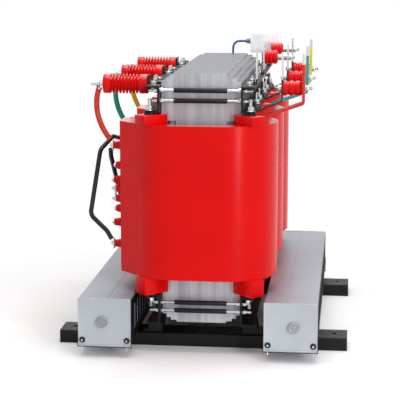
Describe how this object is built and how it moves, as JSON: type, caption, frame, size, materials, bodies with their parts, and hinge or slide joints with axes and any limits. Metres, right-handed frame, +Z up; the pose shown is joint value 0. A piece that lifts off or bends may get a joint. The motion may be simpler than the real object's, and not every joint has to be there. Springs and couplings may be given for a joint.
{
  "type": "dry type transformer",
  "caption": "Cast-resin dry-type distribution transformer with stepped core, red coils, ribbed bushings and cooling fan boxes, standing on steel rails.",
  "frame": {"origin": "centre of the footprint, on the floor", "axes": "+X towards the low-voltage side, +Y along the core and the fan boxes, +Z up"},
  "size_m": [1.07, 1.314, 1.107],
  "materials": {
    "black_painted_steel": "satin black paint",
    "black_insulation": "satin",
    "core_lamination": "edges of stacked laminations, clear lacquer",
    "zinc_plated_steel": "bright zinc",
    "red_cast_resin": "glossy cast resin",
    "lv_coil_foil": "foil with resin ends",
    "glass_fibre_stick": "matte",
    "red_lead_sleeve": "satin silicone",
    "green_lead_sleeve": "satin silicone",
    "yellow_lead_sleeve": "satin silicone",
    "red_painted_bar": "gloss paint with bare end",
    "green_painted_bar": "gloss paint with bare end",
    "yellow_painted_bar": "gloss paint with bare end",
    "part_painted_bar": "black paint with bare ends",
    "white_plastic": "satin",
    "circuit_board": "matte",
    "grey_gland": "satin",
    "blue_cable": "satin",
    "aluminium_sheet": "fine satin sheet",
    "impeller_aluminium": "satin",
    "motor_paint": "satin"
  },
  "bodies": {
    "frame": {"base_rail_front": "black_painted_steel", "base_rail_rear": "black_painted_steel", "busbar_bolts": "zinc_plated_steel", "cable_gland": "grey_gland", "clamp_bolts": "zinc_plated_steel", "clamp_feet": "black_painted_steel", "clamp_uprights": "part_painted_bar", "coil_pads": "red_cast_resin", "controller_board": "circuit_board", "controller_box": "white_plastic", "controller_bracket": "black_painted_steel", "controller_lid": "white_plastic", "core_limb_a": "core_lamination", "core_limb_b": "core_lamination", "core_limb_c": "core_lamination", "core_yoke_bottom": "core_lamination", "core_yoke_top": "core_lamination", "corner_bolts": "black_insulation", "delta_links": "black_insulation", "duct_sticks": "glass_fibre_stick", "fan_bases": "aluminium_sheet", "fan_covers": "aluminium_sheet", "fan_end_plates": "aluminium_sheet", "fan_feet": "black_painted_steel", "fan_grilles": "black_painted_steel", "fan_motors": "motor_paint", "hv_coil_a": "red_cast_resin", "hv_coil_b": "red_cast_resin", "hv_coil_c": "red_cast_resin", "hv_insulator_brackets": "black_painted_steel", "hv_insulators": "red_cast_resin", "hv_lead_a": "red_lead_sleeve", "hv_lead_b": "green_lead_sleeve", "hv_lead_c": "yellow_lead_sleeve", "hv_terminal_studs": "zinc_plated_steel", "lower_clamp_hv": "black_painted_steel", "lower_clamp_lv": "black_painted_steel", "lv_busbar_a": "red_painted_bar", "lv_busbar_b": "green_painted_bar", "lv_busbar_c": "yellow_painted_bar", "lv_coil_a": "lv_coil_foil", "lv_coil_b": "lv_coil_foil", "lv_coil_c": "lv_coil_foil", "lv_insulators": "red_cast_resin", "lv_supports": "part_painted_bar", "neutral_insulators": "red_cast_resin", "neutral_spacers": "zinc_plated_steel", "pressure_plates": "black_painted_steel", "sensor_cable": "blue_cable", "stud_nuts": "zinc_plated_steel", "stud_sleeves": "black_insulation", "tap_links": "zinc_plated_steel", "terminal_lugs": "zinc_plated_steel", "terminal_posts": "red_cast_resin", "tie_studs": "zinc_plated_steel", "upper_clamp_hv": "black_painted_steel", "upper_clamp_lv": "black_painted_steel"},
    "impeller_hv": {"fan_impeller_hv": "impeller_aluminium"},
    "impeller_lv": {"fan_impeller_lv": "impeller_aluminium"}
  },
  "joints": [
    {"name": "fan_hv_spin", "type": "hinge", "parent": "frame", "child": "impeller_hv", "pos_m": [-0.345, 0, 0.132], "axis": [0, 1, 0], "continuous": true},
    {"name": "fan_lv_spin", "type": "hinge", "parent": "frame", "child": "impeller_lv", "pos_m": [0.345, 0, 0.132], "axis": [0, 1, 0], "continuous": true}
  ]
}
